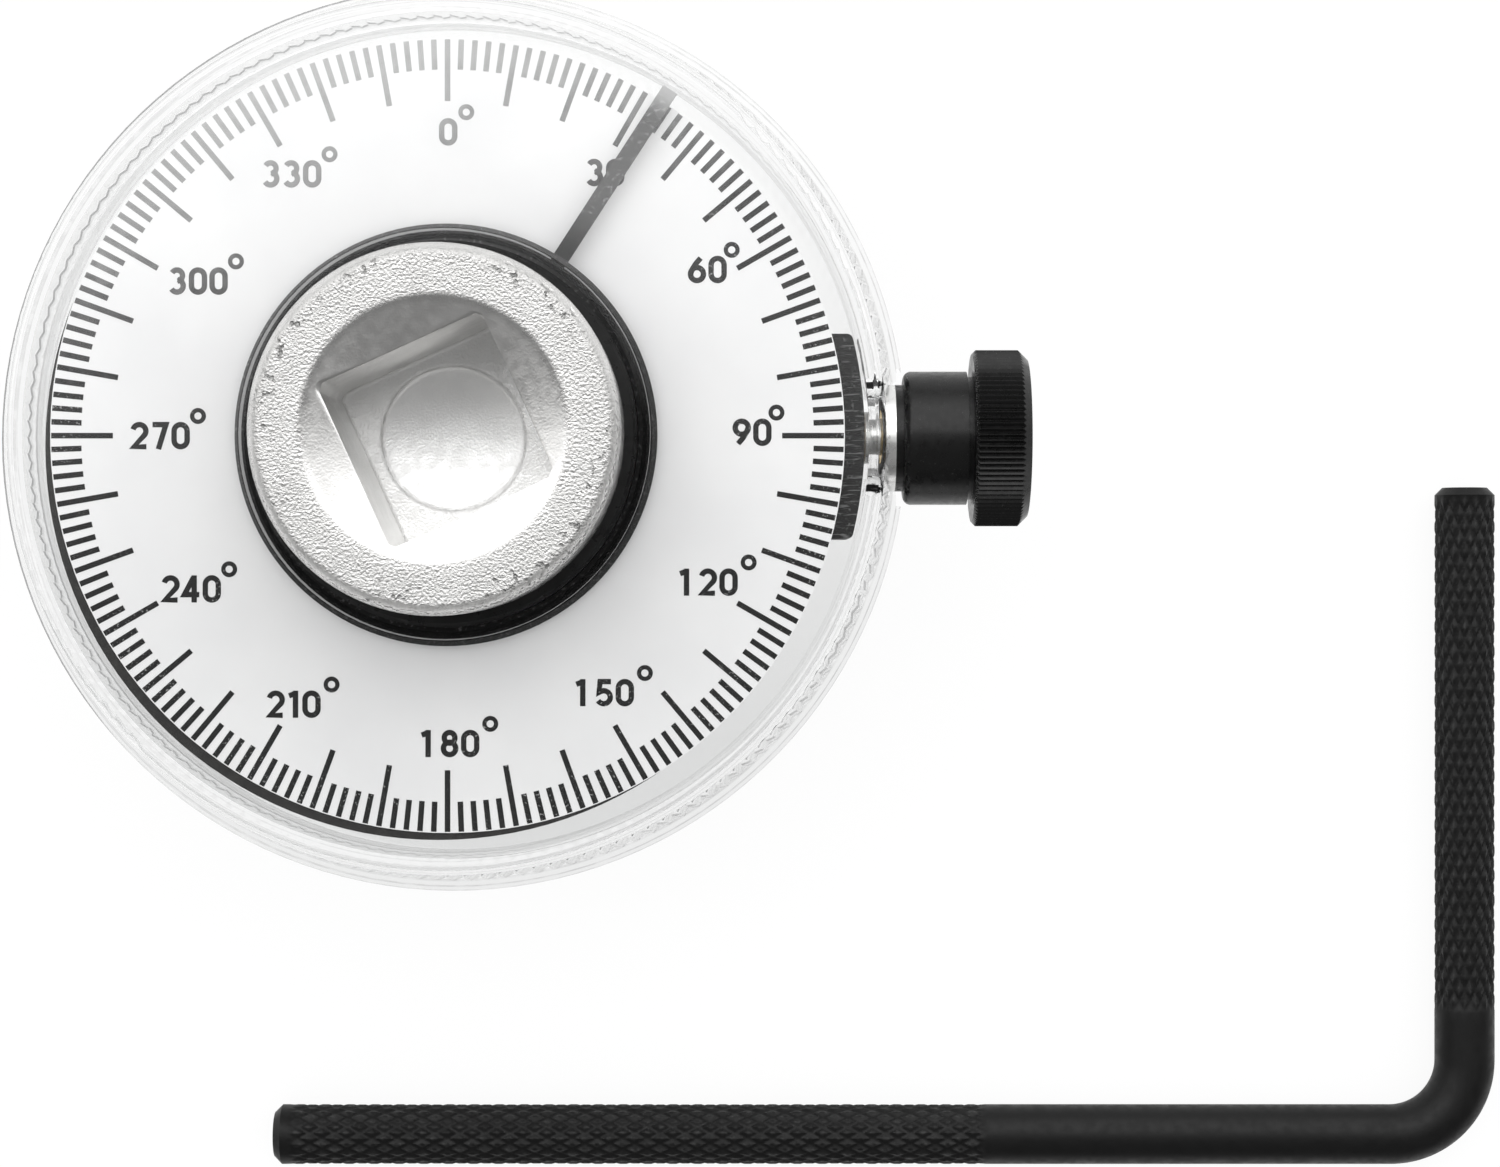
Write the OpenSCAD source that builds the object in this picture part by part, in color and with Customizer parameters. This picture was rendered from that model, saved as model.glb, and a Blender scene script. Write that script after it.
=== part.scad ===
// Torque angle gauge for a half-inch square drive, with its bent holding rod lying beside it.
// Millimetres. The origin is on the drive axis at the end of the male square, +Z runs up through
// the female socket, +X points to the thumb screw and +Y to the zero of the scale.

/* [Drive spindle] */
// Width across flats of the male drive square
male_square_w = 12.6; // [12.2:0.1:13]
// Length of the male drive square
male_square_l = 14; // [12:0.5:18]
// Share of the sharp corner distance that the rounded corners of both squares reach
square_corner = 0.965; // [0.92:0.005:0.99]
// Extra width of the female socket over the male square
socket_play = 0.3; // [0.1:0.05:0.5]
// Depth of the female socket
socket_depth = 17; // [14:0.5:18]
// Mouth diameter of the polished lead-in above the socket
lead_in_d = 19; // [18.8:0.1:21]
// Depth of the lead-in
lead_in_h = 2.8; // [2:0.1:4]
// Diameter of the round dimple in the socket floor
dimple_d = 10.8; // [8:0.2:12]
// Depth of the dimple
dimple_h = 0.4; // [0.2:0.1:0.8]
// Diameter of the chromed head
head_d = 26.4; // [25:0.1:27.6]
// Height of the chromed head
head_h = 8.4; // [7:0.1:12]
// Bevel round the top of the head
head_bevel = 0.7; // [0.3:0.1:1]
// Diameter of the journal that the dial turns on
journal_d = 22; // [21.5:0.1:22.6]
// Angle from the X axis to the first flat of both squares
square_turn = 24.5; // [0:0.5:90]

/* [Ball detent] */
// Diameter of the detent ball
ball_d = 4; // [3.4:0.1:4.4]
// How far the ball stands out of the flat of the male square
ball_out = 0.8; // [0.5:0.1:1.2]
// Height of the ball above the end of the male square
ball_z = 7; // [5:0.5:8]
// Length of the spring behind the ball
detent_spring_l = 5.5; // [4:0.5:6.5]
// Wire diameter of the detent spring
detent_wire_d = 0.45; // [0.3:0.05:0.6]
// Turns of the detent spring
detent_turns = 5; // [4:1:7]

/* [Bearing and washers] */
// Land of the journal below the retaining ring
ring_land = 0.8; // [0.6:0.1:1.5]
// Thickness of the retaining ring
ring_t = 1.2; // [1:0.1:1.5]
// Depth of the groove for the retaining ring
ring_groove = 0.6; // [0.4:0.1:0.8]
// Radial width of the retaining ring
ring_w = 2; // [1.6:0.1:2.4]
// Diameter of the flat washer
flat_washer_d = 30; // [28:0.5:31]
// Thickness of the flat washer
flat_washer_t = 0.8; // [0.5:0.1:1.2]
// How far the flat washer stands out past the conical spring washer
spring_washer_inset = 0.5; // [0.2:0.1:1]
// Sheet thickness of the spring washer
spring_washer_t = 0.5; // [0.3:0.05:0.7]
// Free rise of the spring washer's cone
spring_washer_rise = 0.5; // [0.3:0.05:0.8]
// Wall of the bearing bush
bush_wall = 1.5; // [1:0.1:1.8]
// Flange width of the bearing bush
bush_flange_w = 1.65; // [1:0.05:1.9]
// Flange thickness of the bearing bush
bush_flange_t = 0.8; // [0.6:0.05:1]
// Thickness of the thrust washer under the hub
thrust_washer_t = 0.65; // [0.6:0.05:1]

/* [Hub and pointer] */
// Diameter of the hub's neck
neck_d = 28.2; // [27.8:0.1:28.6]
// How far the neck stands out of the cover
neck_rise = 0.9; // [0.4:0.1:2]
// How far the hub's flange stands out past the neck
hub_flange_w = 1.4; // [0.9:0.1:2.5]
// Thickness of the hub's flange
hub_flange_t = 0.8; // [0.6:0.1:1.2]
// Angle that the pointer shows on the scale
pointer_angle = 33; // [0:1:359]
// Width of the pointer's arm
pointer_w = 1.2; // [0.8:0.1:2]
// Sheet thickness of the pointer
pointer_t = 0.3; // [0.2:0.05:0.5]
// How far the pointer's tip passes the edge of the label
pointer_over = 0.9; // [-2:0.1:1.3]

/* [Cover and base] */
// Thickness of the cover's wall at its foot
cover_wall = 2.25; // [2:0.05:2.8]
// How much smaller the cover's radius is at the top
cover_draft = 1; // [0.4:0.1:1.2]
// Height of the lip's underside above the foot of the cover
lip_rise = 4.2; // [3:0.1:6]
// Height of the lip round the cover
lip_h = 0.9; // [0.6:0.1:1.2]
// How far the lip stands out
lip_w = 0.75; // [0.4:0.05:1.2]
// How far the cover hangs below the base
skirt_h = 0.6; // [0.2:0.1:1]
// Thickness of the cover's top
cover_top_t = 1.5; // [1.2:0.1:2.5]
// Radius of the cover's top edge
cover_edge_r = 0.8; // [0.4:0.1:1]
// Grip grooves round the cover's wall
rim_teeth = 160; // [80:4:200]
// Depth of the grip grooves
rim_tooth_h = 0.25; // [0.15:0.05:0.5]
// Bevel round the hole in the cover
hole_bevel = 0.6; // [0.3:0.1:0.9]
// Thickness of the base
base_t = 2.2; // [1.8:0.1:2.6]
// Width of the cover's shoulder that the base seats against
base_seat_w = 0.45; // [0.3:0.05:0.6]
// Depth of the recess under the base for the washers
recess_h = 1.9; // [1.4:0.1:2.4]
// Wall over and round the recess
recess_wall = 1.6; // [1.2:0.1:2]
// Diameter of the bearing boss on the base
boss_d = 30.4; // [29.6:0.1:33]

/* [Scale] */
// Diameter of the printed label
label_d = 58.6; // [54:0.2:59.6]
// Thickness of the printed label
label_t = 0.2; // [0.1:0.05:0.3]
// How far the label overhangs the dark plate under it
plate_margin = 0.3; // [0:0.05:0.6]
// Thickness of the plate
plate_t = 0.8; // [0.6:0.05:0.9]
// Sideways place of the plate's rim, which sits a little off the drive axis
plate_shift_x = -0.69; // [-0.8:0.01:0.8]
// Fore and aft place of the plate's rim
plate_shift_y = -0.83; // [-0.9:0.01:0.9]
// Diameter of the screw bosses under the plate
scale_boss_d = 4.6; // [4:0.1:5.4]
// Diameter of the circle that the screw bosses stand on
scale_boss_ring_d = 44; // [42:0.5:48]
// Number of screw bosses
scale_boss_count = 3; // [3:2:5]

/* [Screws from below] */
// Shank diameter of the small screws
screw_d = 2.2; // [1.8:0.1:2.4]
// Head diameter of the small screws
screw_head_d = 4.2; // [3.6:0.1:4.4]
// Head height of the small screws
screw_head_h = 1.1; // [0.8:0.1:1.2]
// Length of the small screws under the head
screw_l = 5.4; // [4:0.1:5.6]

/* [Rod clamp] */
// Width of the clamp block
block_w = 15.2; // [14:0.1:18]
// Radius of the block's two outer corners
block_corner_r = 0.5; // [0.3:0.1:2]
// Roof over the rod's bore
block_roof = 0.6; // [0.4:0.1:0.9]
// Distance of the rod's bore from the block's outer face
rod_bore_inset = 6.2; // [5.8:0.1:6.6]
// Distance between the block's two screws
block_screw_gap = 10.4; // [10:0.1:11.5]
// Diameter of the clamp stud
stud_d = 3.9; // [3:0.1:4.1]
// Outer diameter of the threaded insert
insert_d = 5.8; // [5.2:0.1:6]
// Length of the threaded insert
insert_l = 2.3; // [1.8:0.1:2.4]
// Wall of the block under the threaded insert
insert_floor = 0.3; // [0.2:0.05:0.6]
// Wall of the block over the threaded insert
insert_roof = 0.2; // [0.15:0.05:0.6]
// Length of the clamp pad
pad_l = 1.1; // [0.9:0.05:1.4]
// Diameter of the spigot that joins the stud to the pad
spigot_d = 1.6; // [1.2:0.1:2]
// Length of the spigot
spigot_l = 0.6; // [0.4:0.05:0.7]

/* [Thumb knob] */
// Gap between the knob's barrel and the wall of the cover
knob_gap = 0.45; // [0.35:0.05:1]
// Diameter of the barrel
barrel_d = 10; // [8:0.1:10]
// Length of the barrel
barrel_l = 5.15; // [4:0.05:8]
// Radius of the barrel's inner edge
barrel_edge_r = 0.6; // [0.3:0.1:1]
// How much smaller the radius of the nose in the cover's wall is than the barrel's
nose_step = 1; // [0.7:0.1:1.5]
// Length of the nose
nose_l = 1.75; // [1:0.05:2.2]
// Depth and width of the neck between barrel and head
neck_groove = 0.4; // [0.2:0.1:0.6]
// Diameter of the knurled head
knob_d = 13.2; // [12:0.1:15]
// Length of the knurled head
knob_l = 4.15; // [3.4:0.05:6]
// Chamfer at the inner edge of the head
knob_inner_chamfer = 0.3; // [0.2:0.05:0.5]
// Chamfer at the outer edge of the head
knob_outer_chamfer = 0.7; // [0.4:0.05:1]
// Teeth of the straight knurl
knurl_teeth = 96; // [48:4:120]
// Depth of the straight knurl
knurl_h = 0.22; // [0.1:0.02:0.3]
// Length of the stud inside the knob
stud_grip = 6.6; // [4:0.1:7.2]

/* [Holding rod] */
// Diameter of the rod
rod_d = 4.76; // [4:0.02:4.9]
// Overall length of the long arm
rod_long = 98.1; // [60:0.1:140]
// Overall length of the short arm
rod_short = 54.4; // [30:0.1:80]
// Bend radius at the middle of the rod
rod_bend_r = 6; // [4:0.5:12]
// Chamfer at both ends of the rod
rod_chamfer = 0.6; // [0.2:0.1:1]
// Place of the outside of the bend along X
rod_corner_x = 82.2; // [70:0.1:120]
// Place of the outside of the bend along Y
rod_corner_y = -57.6; // [-90:0.1:-50]

/* [Clearances] */
// Radial gap of the running fits: journal, clamp stud, clamp pad and detent ball
running_gap = 0.05; // [0.02:0.01:0.08]
// Radial gap of the fixed fits: bush, insert, screws, stud in the knob
seat_gap = 0.03; // [0.02:0.01:0.05]
// Axial gap where the dial turns against the drive
axial_gap = 0.05; // [0.03:0.01:0.1]
// Radial gap between the neck and the cover, and round loose washers
hub_gap = 0.35; // [0.25:0.05:0.5]
// Gap between the pointer and the cover
pointer_gap = 0.2; // [0.15:0.05:0.4]
// Gap between the clamp block or the boss and the scale plate
plate_gap = 0.2; // [0.1:0.05:0.3]
// Radial gap between the label and the cover's wall
label_gap = 1.75; // [1.4:0.05:2.5]
// Radial gap between the clamp block and the cover's wall
block_gap = 0.25; // [0.15:0.05:0.4]
// Radial gap between the rod and its bore
rod_gap = 0.07; // [0.04:0.01:0.12]

/* [Hidden] */
$fn = 128;

// Overlap of a cutting tool past the face that it opens
cut = 1;

// Heights, from the end of the male square upwards
groove_z = male_square_l + ring_land;
ring_z = groove_z + axial_gap;
flat_washer_z = ring_z + ring_t;
spring_washer_z = flat_washer_z + flat_washer_t;
recess_z = spring_washer_z + spring_washer_t + spring_washer_rise + axial_gap;
base_z = recess_z - recess_h;
floor_z = base_z + base_t;
clamp_z = floor_z + insert_floor + insert_d / 2;
block_top_z = clamp_z + insert_d / 2 + insert_roof;
boss_z = block_top_z - plate_gap / 2;
plate_z = boss_z + plate_gap;
label_z = plate_z + plate_t;
thrust_washer_z = boss_z + bush_flange_t;
hub_z = thrust_washer_z + thrust_washer_t + axial_gap;
pointer_z = hub_z + hub_flange_t;
cover_under_z = pointer_z + pointer_t + pointer_gap;
cover_top_z = cover_under_z + cover_top_t;
cover_z = base_z - skirt_h;
lip_z = cover_z + lip_rise;
head_z = cover_top_z + neck_rise;
top_z = head_z + head_h;
socket_z = top_z - socket_depth;

// Radii
journal_r = journal_d / 2;
groove_r = journal_r - ring_groove;
bush_bore_r = journal_r + running_gap;
bush_r = bush_bore_r + bush_wall;
bush_flange_r = bush_r + bush_flange_w;
neck_r = neck_d / 2;
hub_flange_r = neck_r + hub_flange_w;
loose_bore_r = journal_r + hub_gap;
scale_hole_r = bush_flange_r + hub_gap;
flat_washer_r = flat_washer_d / 2;
recess_r = flat_washer_r + hub_gap;
cover_hole_r = neck_r + hub_gap;
label_r = label_d / 2;
cover_inner_r = label_r + label_gap;
cover_foot_r = cover_inner_r + cover_wall;
cover_top_r = cover_foot_r - cover_draft;
base_r = cover_inner_r + base_seat_w;
dome_r = recess_r + recess_wall;
block_outer_r = cover_inner_r - block_gap;
block_inner_r = dome_r + hub_gap;
rod_r = rod_d / 2;
rod_bore_r = rod_r + rod_gap;
stud_r = stud_d / 2;
stud_bore_r = stud_r + running_gap;
barrel_r = barrel_d / 2;
nose_r = barrel_r - nose_step;
ball_r = ball_d / 2;
screw_r = screw_d / 2;

// Places along the clamp screw, outwards from the drive axis
rod_bore_x = block_outer_r - rod_bore_inset;
insert_x = block_outer_r - plate_gap - insert_l;
pad_x = rod_bore_x + rod_bore_r + axial_gap;
stud_x = pad_x + pad_l;
knob_x = cover_foot_r + knob_gap;
head_x = knob_x + barrel_l;

// Places of the detent, inwards from the flat that it stands out of
detent_turn = square_turn - 90;
ball_x = male_square_w / 2 + ball_out - ball_r;
detent_end_x = ball_x - ball_r - detent_spring_l;

socket_w = male_square_w + socket_play;

// A ring standing on z = 0
module ring(outer_r, inner_r, height) {
    linear_extrude(height)
        difference() {
            circle(outer_r);
            circle(inner_r);
        }
}

// Outline of a drive square whose corners are turned off on a circle
module drive_square(width) {
    intersection() {
        square(width, center = true);
        circle(width * sqrt(2) / 2 * square_corner);
    }
}

// Lays a shape made along +Z so that it runs along +X at the height of the clamp screw
module along_clamp(x) {
    translate([x, 0, clamp_z])
        rotate([0, 90, 0])
            children();
}

// Lays a shape made along +Z so that it runs outwards through the detent's flat
module along_detent(x) {
    rotate([0, 0, detent_turn])
        translate([x, 0, ball_z])
            rotate([0, 90, 0])
                children();
}

// Places of the screws under the scale plate, clear of the clamp block
module at_scale_bosses() {
    for (i = [0 : scale_boss_count - 1])
        rotate([0, 0, 180 + i * 360 / scale_boss_count])
            translate([scale_boss_ring_d / 2, 0, 0])
                children();
}

// Places of the screws under the clamp block, beside the rod's bore
module at_block_screws() {
    for (side = [-1, 1])
        translate([rod_bore_x, side * block_screw_gap / 2, 0])
            children();
}

// One chromed steel piece: male square, grooved journal and head with the female socket
module drive_spindle() {
    end_chamfer = 0.8;
    square_corner_r = male_square_w * sqrt(2) / 2;
    color([0.80, 0.80, 0.78])
        difference() {
            union() {
                intersection() {
                    rotate([0, 0, square_turn])
                        linear_extrude(groove_z)
                            drive_square(male_square_w);
                    union() {
                        cylinder(end_chamfer, square_corner_r - end_chamfer, square_corner_r);
                        translate([0, 0, end_chamfer])
                            cylinder(groove_z - end_chamfer, r = square_corner_r);
                    }
                }
                rotate_extrude()
                    polygon([
                        [0, male_square_l], [journal_r - ring_groove, male_square_l],
                        [journal_r, male_square_l + ring_groove], [journal_r, groove_z],
                        [groove_r, groove_z], [groove_r, ring_z + ring_t + axial_gap],
                        [journal_r, ring_z + ring_t + axial_gap], [journal_r, head_z],
                        [head_d / 2, head_z], [head_d / 2, top_z - head_bevel],
                        [head_d / 2 - head_bevel, top_z], [0, top_z]
                    ]);
            }
            translate([0, 0, socket_z])
                rotate([0, 0, square_turn])
                    linear_extrude(socket_depth + cut)
                        drive_square(socket_w);
            translate([0, 0, top_z - lead_in_h])
                cylinder(lead_in_h, socket_w / 2, lead_in_d / 2);
            translate([0, 0, socket_z - dimple_h])
                cylinder(dimple_h + cut, d = dimple_d);
            along_detent(detent_end_x)
                cylinder(male_square_w, r = ball_r + running_gap);
        }
}

// Steel ball that holds a socket on the male square
module detent_ball() {
    color([0.72, 0.72, 0.72])
        rotate([0, 0, detent_turn])
            translate([ball_x, 0, ball_z])
                sphere(ball_r);
}

// Coil spring behind the ball, swept as a round wire along a helix
module detent_spring() {
    wire_sides = 8;
    steps = detent_turns * 14;
    coil_r = ball_r - detent_wire_d / 2 - 0.1;
    rise = detent_spring_l - detent_wire_d;
    wire = [
        for (i = [0 : steps], j = [0 : wire_sides - 1])
            let (turn = 360 * detent_turns * i / steps, side = 360 * j / wire_sides)
            let (r = coil_r + detent_wire_d / 2 * cos(side))
            [
                r * cos(turn), r * sin(turn),
                detent_wire_d / 2 + rise * i / steps + detent_wire_d / 2 * sin(side)
            ]
    ];
    walls = [
        for (i = [0 : steps - 1], j = [0 : wire_sides - 1])
            let (a = i * wire_sides, b = a + wire_sides, k = (j + 1) % wire_sides)
            [a + j, b + j, b + k, a + k]
    ];
    first_end = [for (j = [0 : wire_sides - 1]) j];
    last_end = [for (j = [wire_sides - 1 : -1 : 0]) steps * wire_sides + j];
    color([0.45, 0.45, 0.47])
        along_detent(detent_end_x)
            polyhedron(wire, concat(walls, [first_end], [last_end]));
}

// Black hub pressed on the journal under the head, with the flange that carries the pointer
module pointer_hub() {
    edge = 0.3;
    color([0.07, 0.07, 0.07])
        rotate_extrude()
            polygon([
                [journal_r + seat_gap, hub_z], [hub_flange_r - edge, hub_z],
                [hub_flange_r, hub_z + edge], [hub_flange_r, pointer_z],
                [neck_r, pointer_z], [neck_r, head_z - edge],
                [neck_r - edge, head_z], [journal_r + seat_gap, head_z]
            ]);
}

// Stamped pointer: a flat ring round the neck and a straight arm out to the scale
module pointer() {
    color([0.10, 0.10, 0.10])
        translate([0, 0, pointer_z])
            linear_extrude(pointer_t)
                difference() {
                    union() {
                        circle(hub_flange_r);
                        rotate(90 - pointer_angle)
                            translate([0, -pointer_w / 2])
                                square([label_r + pointer_over, pointer_w]);
                    }
                    circle(neck_r + seat_gap);
                }
}

// Spring steel ring with two lugs, snapped into the groove of the journal
module retaining_ring() {
    lug_r = 1.5;
    lug_hole_r = 0.6;
    lug_turn = 11;
    inner_r = groove_r + seat_gap;
    outer_r = inner_r + ring_w;
    color([0.30, 0.30, 0.31])
        translate([0, 0, ring_z])
            rotate([0, 0, square_turn])
                linear_extrude(ring_t)
                    difference() {
                        union() {
                            circle(outer_r);
                            for (side = [-1, 1])
                                rotate(side * lug_turn)
                                    translate([outer_r, 0])
                                        circle(lug_r);
                        }
                        circle(inner_r);
                        translate([0, -lug_r / 2])
                            square([2 * outer_r, lug_r]);
                        for (side = [-1, 1])
                            rotate(side * lug_turn)
                                translate([outer_r, 0])
                                    circle(lug_hole_r);
                    }
}

// Plain washer between the retaining ring and the spring washer
module flat_washer() {
    color([0.66, 0.66, 0.67])
        translate([0, 0, flat_washer_z])
            ring(flat_washer_r, loose_bore_r, flat_washer_t);
}

// Conical spring washer whose drag keeps the dial where it is set
module spring_washer() {
    outer_r = flat_washer_r - spring_washer_inset;
    color([0.42, 0.43, 0.45])
        translate([0, 0, spring_washer_z])
            rotate_extrude()
                polygon([
                    [outer_r, 0], [outer_r, spring_washer_t],
                    [loose_bore_r, spring_washer_t + spring_washer_rise],
                    [loose_bore_r, spring_washer_rise]
                ]);
}

// Clear lower shell: floor, recess for the washers and boss for the bearing bush
module dial_base() {
    seat_r = bush_r + seat_gap;
    dome_z = recess_z + recess_wall;
    color([0.86, 0.88, 0.88, 0.5])
        difference() {
            rotate_extrude()
                polygon([
                    [seat_r, recess_z], [recess_r, recess_z], [recess_r, base_z],
                    [base_r, base_z], [base_r, floor_z], [dome_r, floor_z],
                    [dome_r, dome_z], [boss_d / 2, dome_z], [boss_d / 2, boss_z],
                    [seat_r, boss_z]
                ]);
            translate([rod_bore_x, 0, base_z - cut])
                cylinder(base_t + 2 * cut, r = rod_bore_r + hub_gap);
            at_scale_bosses()
                screw_hole();
            at_block_screws()
                screw_hole();
        }
}

// Counterbored hole through the base for a small screw
module screw_hole() {
    translate([0, 0, base_z - cut]) {
        cylinder(base_t + 2 * cut, r = screw_r + 4 * seat_gap);
        cylinder(screw_head_h + cut, r = screw_head_d / 2 + 4 * seat_gap);
    }
}

// Small pan-head screw, driven up from the counterbore
module small_screw() {
    rim = 0.25;
    translate([0, 0, base_z])
        rotate_extrude()
            polygon([
                [0, 0], [screw_head_d / 2 - rim, 0], [screw_head_d / 2, rim],
                [screw_head_d / 2, screw_head_h], [screw_r, screw_head_h],
                [screw_r, screw_head_h + screw_l - screw_r], [0, screw_head_h + screw_l]
            ]);
}

// Pilot hole for a small screw, up from the floor of the base
module pilot_hole() {
    translate([0, 0, floor_z - cut])
        cylinder(screw_l - base_t + screw_head_h + 1.5 * cut, r = screw_r + seat_gap);
}

// Flanged bush in the boss, bored to run on the journal
module bearing_bush() {
    color([0.72, 0.60, 0.36])
        rotate_extrude()
            polygon([
                [bush_bore_r, recess_z], [bush_r, recess_z], [bush_r, boss_z],
                [bush_flange_r, boss_z], [bush_flange_r, thrust_washer_z],
                [bush_bore_r, thrust_washer_z]
            ]);
}

// Slippery washer that the hub turns on
module thrust_washer() {
    color([0.93, 0.93, 0.90])
        translate([0, 0, thrust_washer_z])
            ring(bush_flange_r, loose_bore_r, thrust_washer_t);
}

// Dark plate under the label, with bosses down to the floor of the base
module scale_plate() {
    color([0.12, 0.11, 0.11])
        difference() {
            union() {
                translate([plate_shift_x, plate_shift_y, plate_z])
                    cylinder(plate_t, r = label_r - plate_margin);
                at_scale_bosses()
                    translate([0, 0, floor_z])
                        cylinder(plate_z + plate_t / 2 - floor_z, d = scale_boss_d);
            }
            translate([0, 0, plate_z - cut])
                cylinder(plate_t + 2 * cut, r = scale_hole_r);
            at_scale_bosses()
                pilot_hole();
        }
}

// White film with the degree scale
module scale_label() {
    color([0.93, 0.93, 0.93])
        translate([0, 0, label_z])
            ring(label_r, scale_hole_r, label_t);
}

// Screws that draw the scale plate down on the base
module scale_screws() {
    color([0.62, 0.62, 0.63])
        at_scale_bosses()
            small_screw();
}

// Grip grooves of the cover: V cuts that lean with the wall's draft, from the lip to the top edge
module rim_grooves() {
    wall_h = cover_top_z - cover_edge_r - lip_z - lip_h;
    lean = atan(cover_draft / wall_h);
    half_w = cover_foot_r * sin(180 / rim_teeth);
    for (i = [0 : rim_teeth - 1])
        rotate([0, 0, (i + 0.5) * 360 / rim_teeth])
            translate([cover_foot_r, 0, lip_z + lip_h])
                rotate([0, -lean, 0])
                    linear_extrude(wall_h)
                        polygon([
                            [-rim_tooth_h, 0], [rim_tooth_h, -2 * half_w], [rim_tooth_h, 2 * half_w]
                        ]);
}

// Clear cup with a grooved drafted wall over a lip, a bevelled hole for the neck and an opening
// for the knob
module clear_cover() {
    color([0.92, 0.94, 0.94, 0.35])
        difference() {
            rotate_extrude()
                difference() {
                    union() {
                        polygon([
                            [cover_hole_r, cover_z], [cover_foot_r, cover_z], [cover_foot_r, lip_z],
                            [cover_foot_r + lip_w, lip_z], [cover_foot_r + lip_w, lip_z + lip_h],
                            [cover_foot_r, lip_z + lip_h],
                            [cover_top_r, cover_top_z - cover_edge_r],
                            [cover_top_r - cover_edge_r, cover_top_z],
                            [cover_hole_r + hole_bevel, cover_top_z],
                            [cover_hole_r, cover_top_z - hole_bevel]
                        ]);
                        translate([cover_top_r - cover_edge_r, cover_top_z - cover_edge_r])
                            circle(cover_edge_r);
                    }
                    translate([0, cover_z - cut])
                        square([cover_inner_r, cover_under_z - cover_z + cut]);
                    translate([0, cover_z - cut])
                        square([base_r + seat_gap, floor_z + seat_gap - cover_z + cut]);
                }
            along_clamp(cover_inner_r - cut)
                cylinder(cover_foot_r - cover_inner_r + 2 * cut, r = nose_r + hub_gap);
            along_clamp(cover_foot_r)
                cylinder(lip_w + cut, r = barrel_r + hub_gap);
            rim_grooves();
        }
}

// Black block that grips the rod, with a blind bore from below and the screw from the side
module clamp_block() {
    half_w = block_w / 2;
    corner_y = half_w - block_corner_r;
    corner_x = sqrt((block_outer_r - block_corner_r) ^ 2 - corner_y ^ 2);
    color([0.07, 0.07, 0.07])
        difference() {
            translate([0, 0, floor_z])
                linear_extrude(block_top_z - floor_z)
                    difference() {
                        intersection() {
                            circle(block_outer_r);
                            translate([0, -half_w])
                                square([block_outer_r, block_w]);
                        }
                        circle(block_inner_r);
                        for (side = [0, 1])
                            mirror([0, side])
                                difference() {
                                    polygon([
                                        [corner_x, corner_y], [corner_x, block_outer_r],
                                        [2 * corner_x, block_outer_r], [2 * corner_x, 2 * corner_y]
                                    ]);
                                    translate([corner_x, corner_y])
                                        circle(block_corner_r);
                                }
                    }
            translate([rod_bore_x, 0, floor_z - cut])
                cylinder(block_top_z - block_roof - floor_z + cut, r = rod_bore_r);
            along_clamp(rod_bore_x)
                cylinder(block_outer_r, r = stud_bore_r);
            along_clamp(insert_x)
                cylinder(block_outer_r, r = insert_d / 2 + seat_gap);
            at_block_screws()
                pilot_hole();
        }
}

// Screws that hold the clamp block on the base
module block_screws() {
    color([0.62, 0.62, 0.63])
        at_block_screws()
            small_screw();
}

// Brass bush that the stud is threaded through
module thread_insert() {
    color([0.78, 0.63, 0.33])
        along_clamp(insert_x)
            ring(insert_d / 2, stud_bore_r, insert_l);
}

// Brass tip that swivels on the stud and presses on the rod
module clamp_pad() {
    color([0.78, 0.63, 0.33])
        difference() {
            along_clamp(pad_x)
                cylinder(pad_l, r = stud_r - running_gap);
            along_clamp(stud_x - spigot_l - running_gap)
                cylinder(pad_l, r = spigot_d / 2 + running_gap);
        }
}

// Steel stud between the pad and the knob
module clamp_stud() {
    color([0.55, 0.55, 0.56]) {
        along_clamp(stud_x)
            cylinder(knob_x + stud_grip - stud_x, r = stud_r);
        along_clamp(stud_x - spigot_l)
            cylinder(spigot_l + stud_r, d = spigot_d);
    }
}

// Outline of the straight knurl: one sharp tooth after another round a circle
module knurl_outline() {
    crest_r = knob_d / 2;
    polygon([
        for (i = [0 : 2 * knurl_teeth - 1])
            let (turn = 180 * i / knurl_teeth, r = crest_r - (i % 2) * knurl_h)
            [r * cos(turn), r * sin(turn)]
    ]);
}

// Black knob: nose, round barrel, shallow neck and knurled head, bored for the stud
module thumb_knob() {
    crest_r = knob_d / 2;
    color([0.06, 0.06, 0.06])
        difference() {
            union() {
                along_clamp(knob_x - nose_l)
                    cylinder(nose_l + barrel_edge_r, r = nose_r);
                along_clamp(knob_x)
                    rotate_extrude()
                        union() {
                            polygon([
                                [0, 0], [barrel_r - barrel_edge_r, 0], [barrel_r, barrel_edge_r],
                                [barrel_r, barrel_l - neck_groove],
                                [barrel_r - neck_groove, barrel_l - neck_groove],
                                [barrel_r - neck_groove, barrel_l + neck_groove],
                                [0, barrel_l + neck_groove]
                            ]);
                            translate([barrel_r - barrel_edge_r, barrel_edge_r])
                                circle(barrel_edge_r);
                        }
                intersection() {
                    along_clamp(head_x)
                        linear_extrude(knob_l)
                            knurl_outline();
                    along_clamp(head_x)
                        rotate_extrude()
                            polygon([
                                [0, 0], [crest_r - knob_inner_chamfer, 0],
                                [crest_r + knurl_h, knob_inner_chamfer + knurl_h],
                                [crest_r + knurl_h, knob_l - knob_outer_chamfer - knurl_h],
                                [crest_r - knob_outer_chamfer, knob_l], [0, knob_l]
                            ]);
                }
            }
            along_clamp(knob_x - nose_l - cut)
                cylinder(nose_l + stud_grip + cut + seat_gap, r = stud_r + seat_gap);
        }
}

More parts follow.
